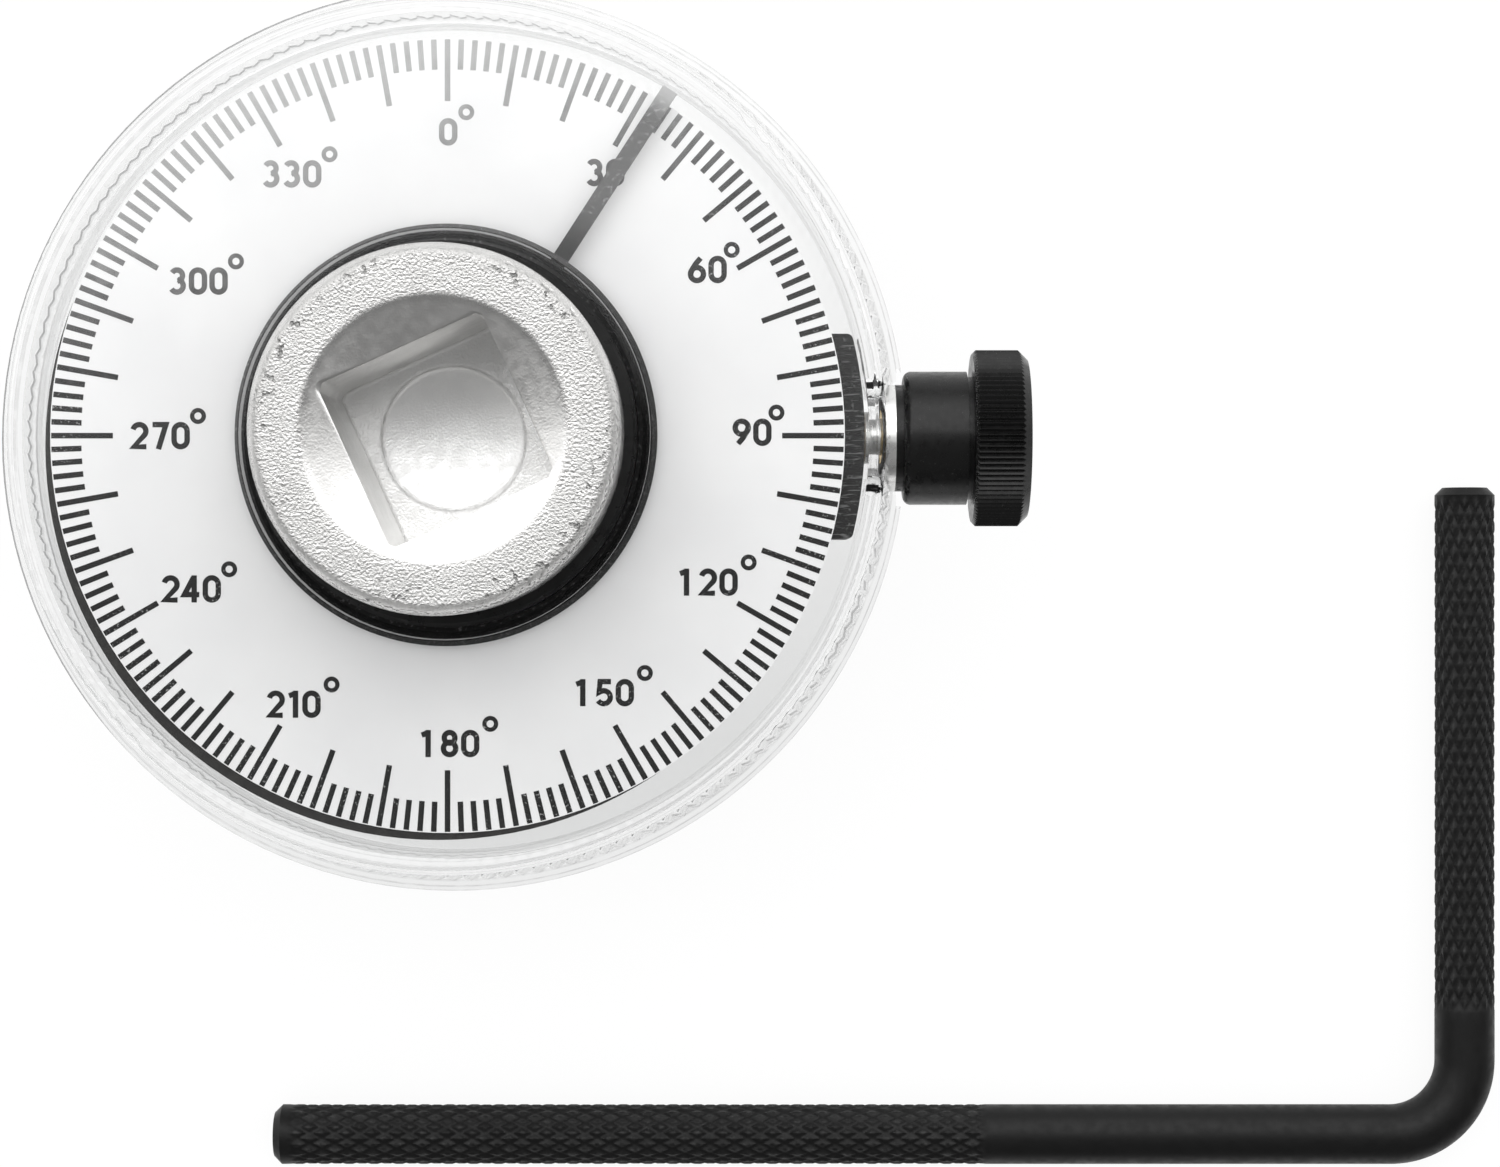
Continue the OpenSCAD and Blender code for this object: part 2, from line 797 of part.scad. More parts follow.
// One arm of the rod along +Z with a chamfered free end
module rod_arm(length) {
    cylinder(length - rod_chamfer, r = rod_r);
    translate([0, 0, length - rod_chamfer])
        cylinder(rod_chamfer, rod_r, rod_r - rod_chamfer);
}

// Bent rod that holds the dial still, lying on the same surface as the gauge
module holding_rod() {
    bend_x = rod_corner_x - rod_r - rod_bend_r;
    bend_y = rod_corner_y + rod_r + rod_bend_r;
    bend_reach = rod_r + rod_bend_r;
    color([0.08, 0.08, 0.08])
        union() {
            translate([bend_x, rod_corner_y + rod_r, rod_r])
                rotate([0, -90, 0])
                    rod_arm(rod_long - bend_reach);
            translate([rod_corner_x - rod_r, bend_y, rod_r])
                rotate([-90, 0, 0])
                    rod_arm(rod_short - bend_reach);
            translate([bend_x, bend_y, rod_r])
                rotate([0, 0, -90])
                    rotate_extrude(angle = 90)
                        translate([rod_bend_r, 0])
                            circle(rod_r);
        }
}

drive_spindle();
detent_ball();
detent_spring();
pointer_hub();
pointer();
retaining_ring();
flat_washer();
spring_washer();
dial_base();
bearing_bush();
thrust_washer();
scale_plate();
scale_label();
scale_screws();
clear_cover();
clamp_block();
block_screws();
thread_insert();
clamp_pad();
clamp_stud();
thumb_knob();
holding_rod();
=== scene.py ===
import math

import bpy
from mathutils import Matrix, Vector


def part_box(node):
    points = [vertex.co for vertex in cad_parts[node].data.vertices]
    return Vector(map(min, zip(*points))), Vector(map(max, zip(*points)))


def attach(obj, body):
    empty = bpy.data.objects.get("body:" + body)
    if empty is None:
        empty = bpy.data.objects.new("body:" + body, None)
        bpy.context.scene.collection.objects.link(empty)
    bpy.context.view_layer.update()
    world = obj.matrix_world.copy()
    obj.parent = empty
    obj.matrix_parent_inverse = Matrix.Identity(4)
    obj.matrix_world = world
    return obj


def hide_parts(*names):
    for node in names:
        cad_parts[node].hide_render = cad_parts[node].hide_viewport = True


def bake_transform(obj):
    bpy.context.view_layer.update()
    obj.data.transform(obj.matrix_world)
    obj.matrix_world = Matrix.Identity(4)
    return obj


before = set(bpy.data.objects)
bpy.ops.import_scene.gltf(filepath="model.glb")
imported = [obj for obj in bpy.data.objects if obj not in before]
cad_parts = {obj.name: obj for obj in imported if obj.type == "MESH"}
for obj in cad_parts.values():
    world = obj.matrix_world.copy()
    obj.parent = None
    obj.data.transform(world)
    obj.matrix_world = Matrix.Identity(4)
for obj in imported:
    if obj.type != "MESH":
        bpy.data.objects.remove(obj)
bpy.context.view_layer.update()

# Studio table and light: a white sweep under one wide softbox that hangs towards the zero of the
# scale, with the opposite side of the room left dim. The table reads as white to the lens, in the
# chrome and through the clear plastic, and still takes a faint shadow.
MM = 0.001
TABLE_HALF = 1.5
TABLE_WHITE = 0.92
TABLE_GLOW_SHARE = 0.90
SOFTBOX_LEVEL = 2.45
DIM_SIDE_LEVEL = 0.27
HORIZON_SHARE = 0.26
RIM_SHARE = 0.15
FILL_BRIGHT = 1.46
FILL_DIM = 1.03
FILL_FADE = 0.5
SOFTBOX_LEAN = 0.1
SOFTBOX_FADE = 0.26
SOFTBOX_HEIGHT = 0.7
RIM_CROSSINGS = (2.0, 4.0)
SIDEWAYS_Z = 0.35


def add_node(tree, kind, settings=None, **inputs):
    """A shader node with its settings. Its inputs, by name or as i0, i1 and so on, are set to values
    or joined to sockets."""
    made = tree.nodes.new("ShaderNode" + kind)
    for key, value in (settings or {}).items():
        setattr(made, key, value)
    for key, value in inputs.items():
        socket = made.inputs[int(key[1:]) if key[1:].isdigit() else key.replace("_", " ")]
        if isinstance(value, bpy.types.NodeSocket):
            tree.links.new(value, socket)
        else:
            socket.default_value = value
    return made


def maths(tree, operation, first, second=0.0):
    """The output of one math node."""
    return add_node(tree, "Math", {"operation": operation}, i0=first, i1=second).outputs[0]


def product(tree, first, *others):
    """The product of several values."""
    for other in others:
        first = maths(tree, "MULTIPLY", first, other)
    return first


def ramp_between(tree, value, low, high, low_out=0.0, high_out=1.0):
    """A smooth step of value from low to high."""
    made = add_node(tree, "MapRange", {"interpolation_type": "SMOOTHSTEP"}, Value=value,
                    From_Min=low, From_Max=high, To_Min=low_out, To_Max=high_out)
    return made.outputs[0]


def seen_rays(tree, names):
    """1 for rays of any of the named kinds, else 0."""
    rays = add_node(tree, "LightPath").outputs
    total = rays[names[0]]
    for name in names[1:]:
        total = maths(tree, "MAXIMUM", total, rays[name])
    return total


def mesh_piece(name, points, faces):
    """A new mesh object from points in metres."""
    mesh = bpy.data.meshes.new(name)
    mesh.from_pydata(points, [], faces)
    mesh.update()
    piece = bpy.data.objects.new(name, mesh)
    bpy.context.scene.collection.objects.link(piece)
    return piece


def neutral(level):
    """A grey as a colour."""
    return (level, level, level, 1)


corners = [(x * TABLE_HALF, y * TABLE_HALF, 0) for x, y in ((-1, -1), (1, -1), (1, 1), (-1, 1))]
table = mesh_piece("table_top", corners, [(0, 1, 2, 3)])
table_paper = bpy.data.materials.new("table_paper")
table_paper.use_nodes = True
tree = table_paper.node_tree
tree.nodes.clear()
grey = add_node(tree, "BsdfDiffuse", Color=neutral(TABLE_WHITE))
glow = add_node(tree, "Emission", Color=(1, 1, 1, 1), Strength=1.0)
seen = seen_rays(tree, ["Is Camera Ray", "Is Glossy Ray", "Is Transmission Ray"])
share = product(tree, seen, TABLE_GLOW_SHARE)
paper = add_node(tree, "MixShader", Fac=share, i1=grey.outputs[0], i2=glow.outputs[0])
add_node(tree, "OutputMaterial", Surface=paper.outputs[0])
table.data.materials.append(table_paper)

room = bpy.data.worlds.new("studio_room")
bpy.context.scene.world = room
room.use_nodes = True
tree = room.node_tree
tree.nodes.clear()
direction = add_node(tree, "SeparateXYZ", Vector=add_node(tree, "TexCoord").outputs["Generated"])
towards_x, towards_y, towards_z = (direction.outputs[axis] for axis in "XYZ")
leaning = maths(tree, "SUBTRACT", towards_y, product(tree, towards_x, SOFTBOX_LEAN))
softbox_edge = ramp_between(tree, leaning, 0.0, SOFTBOX_FADE, DIM_SIDE_LEVEL, SOFTBOX_LEVEL)
height_share = ramp_between(tree, towards_z, 0.0, SOFTBOX_HEIGHT, HORIZON_SHARE, 1.0)
room_level = product(tree, softbox_edge, height_share)
fill_level = ramp_between(tree, towards_y, -FILL_FADE, FILL_FADE, FILL_DIM, FILL_BRIGHT)
fill_rays = seen_rays(tree, ["Is Diffuse Ray"])
filled = add_node(tree, "Mix", {"data_type": "FLOAT"}, i0=fill_rays, i2=room_level, i3=fill_level)
crossings = add_node(tree, "LightPath").outputs["Transmission Depth"]
few_crossings = ramp_between(tree, crossings, *RIM_CROSSINGS, 1.0, RIM_SHARE)
sideways = maths(tree, "LESS_THAN", towards_z, SIDEWAYS_Z)
through_rim = product(tree, few_crossings, seen_rays(tree, ["Is Transmission Ray"]), sideways)
plain_sight = maths(tree, "MAXIMUM", through_rim, seen_rays(tree, ["Is Camera Ray"]))
level = add_node(tree, "Mix", {"data_type": "FLOAT"}, i0=plain_sight, i2=filled.outputs[0], i3=1.0)
back = add_node(tree, "Background", Color=(1, 1, 1, 1), Strength=level.outputs[0])
add_node(tree, "OutputWorld", Surface=back.outputs[0])

# Camera: straight above, as in the photograph, with the long lens that gives the same lean of the
# chromed head over the scale. The image is taken as 1500 by 1167 pixels.
IMAGE_W = 1500
FOCAL_PX = 3498
SENSOR_MM = 36.0
CAMERA_X = 22.3 * MM
CAMERA_Y = -10.9 * MM
CAMERA_Z = 284 * MM
lens = bpy.data.cameras.new("camera")
lens.sensor_fit = "HORIZONTAL"
lens.sensor_width = SENSOR_MM
lens.lens = FOCAL_PX / IMAGE_W * SENSOR_MM
lens.clip_start = 0.01
camera = bpy.data.objects.new("camera", lens)
camera.location = (CAMERA_X, CAMERA_Y, CAMERA_Z)
bpy.context.scene.collection.objects.link(camera)
bpy.context.scene.camera = camera
bpy.context.scene.view_settings.view_transform = "Standard"

# Drive spindle: one steel forging, machined and chrome plated. The plate shows the grain of the
# forging on the flat top and runs smooth over the lead-in of the socket and down the square.
CHROME = (0.82, 0.815, 0.805, 1)
CHROME_DULL = (0.70, 0.695, 0.685, 1)
CHROME_TOP_SHADED = (0.60, 0.595, 0.585, 1)
CHROME_DISH_SHADED = (0.50, 0.495, 0.485, 1)
CHROME_FLOOR_LIT = (0.98, 0.98, 0.97, 1)
CHROME_PIT = (0.18, 0.18, 0.175, 1)
CHROME_SHADE_SHARE = 0.7
DISH_FLATNESS = 0.68
DIMPLE_CURVE = 90.0
TOP_DEPTHS = (0.5, 0.1)
DISH_DEPTHS = (3.0, 2.7)
LEAD_IN_RADII = (9.0, 10.6)
MOUTH_RADII = (10.2, 8.8)
PITTED_RADII = (10.8, 12.3)
DIMPLE_RADII = (5.42, 5.36)
DIMPLE_HEIGHTS = (21.05, 20.95)
FLOOR_HEIGHTS = (21.3, 21.1)
SOCKET_LOWEST = 19.0
PEEL_TOP = 0.60
PEEL_REST = 0.40
SWELL_SHARE = 0.35
FORGED_RELIEF = 0.120
FORGED_EDGE = 0.45
DULL_ROUGHNESS = 0.16


def new_finish(name, metallic=0.0):
    """A new material with its node tree and its main shader."""
    material = bpy.data.materials.new(name)
    material.use_nodes = True
    shader = material.node_tree.nodes["Principled BSDF"]
    shader.inputs["Metallic"].default_value = metallic
    return material, material.node_tree, shader


def own_place(tree):
    """Place in the piece's own frame, in metres."""
    return add_node(tree, "TexCoord").outputs["Object"]


def place_axis(tree, axis):
    """One coordinate in the piece's own frame, in metres."""
    return add_node(tree, "SeparateXYZ", Vector=own_place(tree)).outputs[axis]


def vector_maths(tree, operation, output="Vector", **inputs):
    """An output of one vector math node."""
    return add_node(tree, "VectorMath", {"operation": operation}, **inputs).outputs[output]


def grain(tree, size_mm, detail=3.0, stretch=(1, 1, 1)):
    """Noise in the piece's own frame whose features are about size_mm across."""
    stretched = vector_maths(tree, "MULTIPLY", i0=own_place(tree), i1=stretch)
    noise = add_node(tree, "TexNoise", Vector=stretched, Scale=1 / (size_mm * MM), Detail=detail)
    return noise.outputs[0]


def tint(tree, value, *stops):
    """A colour ramp with (place, colour) stops."""
    made = add_node(tree, "ValToRGB", Fac=value)
    ramp = made.color_ramp
    while len(ramp.elements) < len(stops):
        ramp.elements.new(0.5)
    for element, (place, colour) in zip(ramp.elements, stops):
        element.position = place
        element.color = colour
    return made.outputs[0]


def emboss(tree, shader, height, depth_mm, edge_mm=0.0):
    """Bump of the given depth on a shader, from a 0 to 1 height, over edges rounded by edge_mm."""
    bump = add_node(tree, "Bump", Height=height, Distance=depth_mm * MM)
    if edge_mm:
        rounded = add_node(tree, "Bevel", {"samples": 3}, Radius=edge_mm * MM).outputs[0]
        tree.links.new(rounded, bump.inputs["Normal"])
    tree.links.new(bump.outputs[0], shader.inputs["Normal"])
    return bump


def blend_shade(tree, share, first, second):
    """A colour between two others."""
    return add_node(tree, "Mix", {"data_type": "RGBA"}, i0=share, i6=first, i7=second).outputs[2]


def mottle(tree, shader, patch_mm, dark, pale):
    """A base colour that drifts between two shades in patches of about patch_mm."""
    colour = tint(tree, grain(tree, patch_mm), (0.3, dark), (0.7, pale))
    tree.links.new(colour, shader.inputs["Base Color"])


def soften(tree, shader, patch_mm, smooth, rough):
    """A roughness that drifts between two values in patches of about patch_mm."""
    drift = ramp_between(tree, grain(tree, patch_mm), 0.3, 0.7, smooth, rough)
    tree.links.new(drift, shader.inputs["Roughness"])


def step_mm(tree, length, low, high, low_out=0.0, high_out=1.0):
    """A smooth step of a length in metres, from low to high in mm."""
    return ramp_between(tree, length, low * MM, high * MM, low_out, high_out)


def radius_from_axis(tree):
    """Distance from the drive axis, in metres."""
    flat = vector_maths(tree, "MULTIPLY", i0=own_place(tree), i1=(1, 1, 0))
    return vector_maths(tree, "LENGTH", "Value", i0=flat)


def reach_along(tree, degrees):
    """Distance from the drive axis towards a direction, in degrees from +X, in metres."""
    towards = (math.cos(math.radians(degrees)), math.sin(math.radians(degrees)), 0)
    return vector_maths(tree, "DOT_PRODUCT", "Value", i0=own_place(tree), i1=towards)


def dress(node, material):
    """Puts a material on a carried-over CAD node."""
    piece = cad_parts[node]
    if not piece.material_slots:
        piece.data.materials.append(material)
    for place in piece.material_slots:
        place.material = material
    return piece


spindle_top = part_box("drive_spindle")[1].z
chrome, tree, shader = new_finish("forged_chrome", metallic=1.0)
chrome_z = place_axis(tree, "Z")
chrome_r = radius_from_axis(tree)
on_top = ramp_between(tree, chrome_z, *[spindle_top - depth * MM for depth in TOP_DEPTHS])
peel_share = product(tree, on_top, step_mm(tree, chrome_r, *LEAD_IN_RADII))
peel_level = maths(tree, "ADD", product(tree, peel_share, PEEL_TOP), PEEL_REST)
peel = product(tree, grain(tree, 0.20), peel_level)
swell = product(tree, grain(tree, 2.4, detail=1.0), SWELL_SHARE)
patches = ramp_between(tree, grain(tree, 6.0, detail=1.0), 0.46, 0.60)
holes = ramp_between(tree, grain(tree, 0.55, detail=5.0), 0.56, 0.68)
pits = product(tree, step_mm(tree, chrome_r, *PITTED_RADII), patches, holes, on_top)
forged = maths(tree, "SUBTRACT", maths(tree, "ADD", peel, swell), pits)
relief = emboss(tree, shader, forged, FORGED_RELIEF, FORGED_EDGE).outputs[0]

in_dish = ramp_between(tree, chrome_z, *[spindle_top - depth * MM for depth in DISH_DEPTHS])
dish_share = product(tree, in_dish, step_mm(tree, chrome_r, *MOUTH_RADII), DISH_FLATNESS)
dished = add_node(tree, "Mix", {"data_type": "VECTOR"}, i0=dish_share, i4=relief, i5=(0, 0, 1))
in_socket = maths(tree, "GREATER_THAN", chrome_z, SOCKET_LOWEST * MM)
in_dimple = product(tree, step_mm(tree, chrome_r, *DIMPLE_RADII),
                    step_mm(tree, chrome_z, *DIMPLE_HEIGHTS), in_socket)
inwards = vector_maths(tree, "MULTIPLY_ADD", i0=own_place(tree), i1=(-DIMPLE_CURVE, -DIMPLE_CURVE, 0),
                       i2=(0, 0, 1))
hollow = vector_maths(tree, "ADD", i0=inwards, i1=relief)
hollowed = add_node(tree, "Mix", {"data_type": "VECTOR"}, i0=in_dimple, i4=dished.outputs[1], i5=hollow)
tree.links.new(vector_maths(tree, "NORMALIZE", i0=hollowed.outputs[1]), shader.inputs["Normal"])

on_floor = product(tree, step_mm(tree, chrome_z, *FLOOR_HEIGHTS), in_socket)
# Painted light: the chrome is coloured darker on the forged top and in the lead-in dish as painted shade
# and paler on the socket floor as a painted highlight; the pits are its own.
plate_colour = tint(tree, grain(tree, 2.5), (0.3, CHROME_DULL), (0.7, CHROME))
for share, shade in ((peel_share, CHROME_TOP_SHADED), (dish_share, CHROME_DISH_SHADED), (on_floor, CHROME_FLOOR_LIT),
                     (pits, CHROME_PIT)):
    plate_colour = blend_shade(tree, product(tree, share, CHROME_SHADE_SHARE), plate_colour, shade)
tree.links.new(plate_colour, shader.inputs["Base Color"])
dull_share = maths(tree, "MAXIMUM", maths(tree, "MAXIMUM", peel_share, on_floor), dish_share)
rough = maths(tree, "ADD", ramp_between(tree, grain(tree, 0.8), 0.3, 0.7, 0.17, 0.27),
              product(tree, dull_share, DULL_ROUGHNESS))
tree.links.new(rough, shader.inputs["Roughness"])
dress("drive_spindle", chrome)

# Detent ball: a hardened bearing ball, ground and lapped, that snaps into the socket it drives.
# Its spring is patented steel wire, coiled cold, that sits in the cross hole.
ball_steel, tree, shader = new_finish("lapped_steel", metallic=1.0)
mottle(tree, shader, 0.5, neutral(0.60), (0.70, 0.70, 0.69, 1))
soften(tree, shader, 0.2, 0.10, 0.18)
dress("detent_ball", ball_steel)

spring_steel, tree, shader = new_finish("spring_steel", metallic=1.0)
mottle(tree, shader, 0.6, (0.22, 0.22, 0.23, 1), (0.34, 0.34, 0.35, 1))
soften(tree, shader, 0.3, 0.28, 0.42)
wound = dress("detent_spring", spring_steel)
DETENT_TURN = math.radians(-65.5)
DETENT_Z = 7.0 * MM
SPRING_BACK = -2.4 * MM
SPRING_FRONT = 3.1 * MM
coil = bpy.data.objects.new("detent_coil", wound.data.copy())
coil.matrix_world = wound.matrix_world
bpy.context.scene.collection.objects.link(coil)
coil.data.materials.clear()
coil.data.materials.append(spring_steel)
ends = [(reach * math.cos(DETENT_TURN), reach * math.sin(DETENT_TURN), DETENT_Z)
        for reach in (SPRING_BACK, SPRING_FRONT)]
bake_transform(coil)
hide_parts("detent_spring")

# Retaining ring: stamped from spring steel strip and phosphated dark, snapped into the groove under
# the dial with pliers in its two lug holes. The stamped faces are dull, with a fine crystal grain.
ring_steel, tree, shader = new_finish("phosphated_steel", metallic=0.85)
mottle(tree, shader, 0.4, (0.06, 0.06, 0.062, 1), (0.11, 0.11, 0.112, 1))
soften(tree, shader, 0.5, 0.42, 0.60)
emboss(tree, shader, grain(tree, 0.12), 0.006)
dress("retaining_ring", ring_steel)

# Flat washer and conical spring washer: both stamped from sheet and tumbled, the flat one zinc plated
# and the cone tempered to a blue grey. They sit in the recess under the base, where the cone gives
# the dial the drag that keeps it where it is set.
LINE_JITTER = 9.0


def turned_lines(tree, pitch_mm):
    """Fine concentric lines round the drive axis, 0 to 1."""
    waves = product(tree, radius_from_axis(tree), 2 * math.pi / (pitch_mm * MM))
    jitter = product(tree, grain(tree, 1.5), LINE_JITTER)
    sine = maths(tree, "SINE", maths(tree, "ADD", waves, jitter))
    return product(tree, maths(tree, "ADD", sine, 1.0), 0.5)


zinc, tree, shader = new_finish("zinc_plate", metallic=1.0)
mottle(tree, shader, 1.2, (0.50, 0.51, 0.53, 1), (0.62, 0.63, 0.64, 1))
soften(tree, shader, 0.6, 0.24, 0.40)
emboss(tree, shader, turned_lines(tree, 0.25), 0.002)
dress("flat_washer", zinc)

blue_steel, tree, shader = new_finish("tempered_steel", metallic=1.0)
mottle(tree, shader, 2.0, (0.24, 0.25, 0.28, 1), (0.36, 0.37, 0.39, 1))
soften(tree, shader, 0.6, 0.26, 0.40)
emboss(tree, shader, turned_lines(tree, 0.3), 0.002)
dress("spring_washer", blue_steel)

# Bearing bush: sintered bronze, pressed into the boss of the base. The bore is sized smooth; the
# rest keeps the open pores and the dull brown of an oil-filled bush.
bronze, tree, shader = new_finish("sintered_bronze", metallic=1.0)
colour = tint(tree, grain(tree, 0.3, detail=5),
              (0.35, (0.30, 0.19, 0.08, 1)), (0.6, (0.55, 0.39, 0.18, 1)))
tree.links.new(colour, shader.inputs["Base Color"])
soften(tree, shader, 0.3, 0.35, 0.55)
emboss(tree, shader, grain(tree, 0.15), 0.01)
dress("bearing_bush", bronze)

# Dial base: the lower half of the housing, moulded in clear styrene so that the whole rim looks
# pale. The mould leaves it glossy, with a slight swell and a few tumbling scuffs.
CLEAR_TINT = (0.970, 0.972, 0.971, 1)
CLEAR_TINT_SHADED = (0.900, 0.903, 0.902, 1)
TRAPPED_DEPTH = 6.5
TRAPPED_GLOW_LEVEL = 0.22
SHADE_SPAN_Y = (10, -32)
CLEAR_SHADOW = 0.93
SHADE_LINE_GREY = 0.30
HUB_REFLECTION_SHADE = 0.16


def clear_plastic(name, swell_mm, scuff, painted_dark_inside_mm=0.0, shade_lines=()):
    """Clear moulded plastic with a faint swell and fine scuffs, painted greyer towards -Y as shade and
    with a faint painted glow after many bounces. Inside a radius it is painted dark as a reflection of
    the black hub, and the lines, each (radius, half width, share) in mm, are dark lines painted in its
    corners as shade."""
    material, tree, shader = new_finish(name)
    shader.inputs["Transmission Weight"].default_value = 1.0
    shader.inputs["IOR"].default_value = 1.49
    from_axis = radius_from_axis(tree)
    # Painted shade: the plastic is tinted greyer towards -Y, away from the softbox, mixed with a random
    # cloud.
    shaded_low_side = step_mm(tree, place_axis(tree, "Y"), *SHADE_SPAN_Y)
    cloud_and_shade = maths(tree, "ADD", product(tree, grain(tree, 6.0), 0.3), product(tree, shaded_low_side, 0.7))
    colour = tint(tree, cloud_and_shade, (0.2, CLEAR_TINT), (0.8, CLEAR_TINT_SHADED))
    for radius, half_w, share in shade_lines:
        # Painted shade: dark broken lines along the corners of the rim.
        off_line = maths(tree, "ABSOLUTE", maths(tree, "SUBTRACT", from_axis, radius * MM))
        broken = ramp_between(tree, grain(tree, 1.4), 0.36, 0.58, 0.35 * share, share)
        line_shade = product(tree, step_mm(tree, off_line, half_w, 0.4 * half_w), broken)
        colour = blend_shade(tree, line_shade, colour, neutral(SHADE_LINE_GREY))
    if painted_dark_inside_mm:
        # Painted reflection: inside the hole's edge the plastic is coloured dark, standing in for the
        # black hub seen in its cut edge.
        painted_hub_reflection = step_mm(tree, from_axis, painted_dark_inside_mm + 0.05, painted_dark_inside_mm)
        colour = blend_shade(tree, painted_hub_reflection, colour, neutral(HUB_REFLECTION_SHADE))
    tree.links.new(colour, shader.inputs["Base Color"])
    marks = grain(tree, 0.9, detail=6.0, stretch=(1, 0.35, 1))
    tree.links.new(ramp_between(tree, marks, 0.58, 0.72, 0.0, scuff), shader.inputs["Roughness"])
    emboss(tree, shader, grain(tree, 5.0, detail=1.0), swell_mm)
    # Painted glow: past several bounces the plastic glows faintly, standing in for the light trapped in
    # it.
    bounced = add_node(tree, "LightPath").outputs["Ray Depth"]
    trapped_light_glow = add_node(tree, "Emission", Color=CLEAR_TINT, Strength=TRAPPED_GLOW_LEVEL)
    with_trapped_glow = add_node(tree, "MixShader", Fac=maths(tree, "GREATER_THAN", bounced, TRAPPED_DEPTH),
                      i1=shader.outputs[0], i2=trapped_light_glow.outputs[0])
    open_air = add_node(tree, "BsdfTransparent", Color=neutral(CLEAR_SHADOW))
    fill_rays = seen_rays(tree, ["Is Shadow Ray", "Is Diffuse Ray"])
    mixed = add_node(tree, "MixShader", Fac=fill_rays, i1=with_trapped_glow.outputs[0], i2=open_air.outputs[0])
    tree.links.new(mixed.outputs[0], tree.nodes["Material Output"].inputs["Surface"])
    return material


dress("dial_base", clear_plastic("clear_base", 0.01, 0.15))

# Thrust washer: punched from white acetal sheet, so that the hub slips on the bush without grease.
# Handling leaves it a little yellowed and matt.
acetal, tree, shader = new_finish("white_acetal")
mottle(tree, shader, 1.5, (0.78, 0.77, 0.72, 1), (0.86, 0.85, 0.81, 1))
soften(tree, shader, 0.6, 0.38, 0.55)
dress("thrust_washer", acetal)

# Scale plate: dark moulded disc with three screw bosses, a little off the drive axis, so that its
# edge shows as a thin dark border round the lower left of the label.
plate_black, tree, shader = new_finish("plate_black")
shader.inputs["Specular IOR Level"].default_value = 0.20
mottle(tree, shader, 0.8, (0.012, 0.011, 0.011, 1), (0.024, 0.023, 0.022, 1))
soften(tree, shader, 0.5, 0.40, 0.55)
emboss(tree, shader, grain(tree, 0.15), 0.004)
dress("scale_plate", plate_black)

# Scale label: white vinyl film stuck on the plate, slightly uneven in its white and with the soft
# gloss of a laminated print.
film, tree, shader = new_finish("white_film")
colour = tint(tree, grain(tree, 9.0, detail=4.0),
              (0.30, (0.81, 0.81, 0.815, 1)), (0.70, neutral(0.87)))
tree.links.new(colour, shader.inputs["Base Color"])
soften(tree, shader, 2.0, 0.40, 0.52)
emboss(tree, shader, grain(tree, 1.2), 0.004)
dress("scale_label", film)

# Printed scale: screen-printed black ink, a line every 2 degrees with a long one every 10, and the
# degrees every 30 in a plain geometric hand. The ink is painted paler towards zero as a painted
# glare of the softbox, and rubbing has left pale specks and patches in it.
GLARE_TURN = 105
GLARE_REACH = 30
RUBBED_SHARE = 0.72
PATCHY_SHARE = 0.30
label_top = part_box("scale_label")[1].z
INK_RISE = 0.012 * MM
LAYER_RISE = 0.004 * MM
LINE_OUT = 29.22
LINE_IN_SHORT = 27.0
LINE_IN_LONG = 24.67
LINE_W = 0.41
STROKE_W = 0.40
DIGIT_PITCH = 1.52
ONE_PITCH = 1.12
LEADING_ONE_GAP = 0.4
RING_R = 0.43
RING_W = 0.32
RING_RISE = 1.45
HALF_W = 0.48
HALF_H = 0.815
NUMBER_PLACES = {
    0: (0.05, 22.4), 30: (11.6, 19.4), 60: (19.15, 12.25), 90: (22.45, 0.25),
    120: (19.4, -10.8), 150: (11.75, -18.95), 180: (0.35, -22.7), 210: (-11.35, -19.8),
    240: (-18.9, -11.3), 270: (-21.2, 0.0), 300: (-18.4, 11.4), 330: (-11.5, 19.3)}
RING_SHIFT = {1: 1.33, 2: 1.80, 3: 2.80}


def arc(x, y, radius, start, end, steps=18):
    """Points on an arc, in degrees from +X."""
    turns = [math.radians(start + (end - start) * i / steps) for i in range(steps + 1)]
    return [(x + radius * math.cos(turn), y + radius * math.sin(turn)) for turn in turns]


def digit_strokes(digit):
    """Centre lines of one digit as (points, closed) pairs, about its own centre, in mm."""
    bend = HALF_H - HALF_W
    bowl = arc(0, -bend, HALF_W, 0, 360, 32)[:-1]
    stem = [(0.27, HALF_H + 0.03), (-0.08, 0.44), (-0.34, 0.02), (-0.47, -0.34)]
    five = [(0.50, HALF_H), (-0.30, HALF_H), (-0.38, 0.02)] + arc(-0.03, -bend, HALF_W, 118, -150)
    forms = {
        "0": [(arc(0, bend, HALF_W, 0, 180) + arc(0, -bend, HALF_W, 180, 360), True)],
        "1": [([(0.14, -1.0), (0.14, 1.0)], False), ([(0.14, 0.80), (-0.34, 0.62)], False)],
        "2": [(arc(0, bend, HALF_W, 165, -38) + [(-0.40, -HALF_H), (0.52, -HALF_H)], False)],
        "3": [(arc(-0.03, 0.405, 0.41, 150, -85), False),
              (arc(-0.03, -0.355, 0.46, 85, -150), False)],
        "4": [([(0.22, -1.0), (0.22, 1.0)], False),
              ([(0.18, 0.86), (-0.50, -0.42), (0.60, -0.42)], False)],
        "5": [(five, False)],
        "6": [(bowl, True), (stem, False)],
        "7": [([(-0.55, HALF_H), (0.44, HALF_H), (-0.12, -1.0)], False)],
        "8": [(arc(0, 0.42, 0.395, 0, 360, 32)[:-1], True),
              (arc(0, -0.36, 0.455, 0, 360, 32)[:-1], True)],
        "9": [([(-x, -y) for x, y in bowl], True), ([(-x, -y) for x, y in stem], False)],
    }
    return forms[digit]


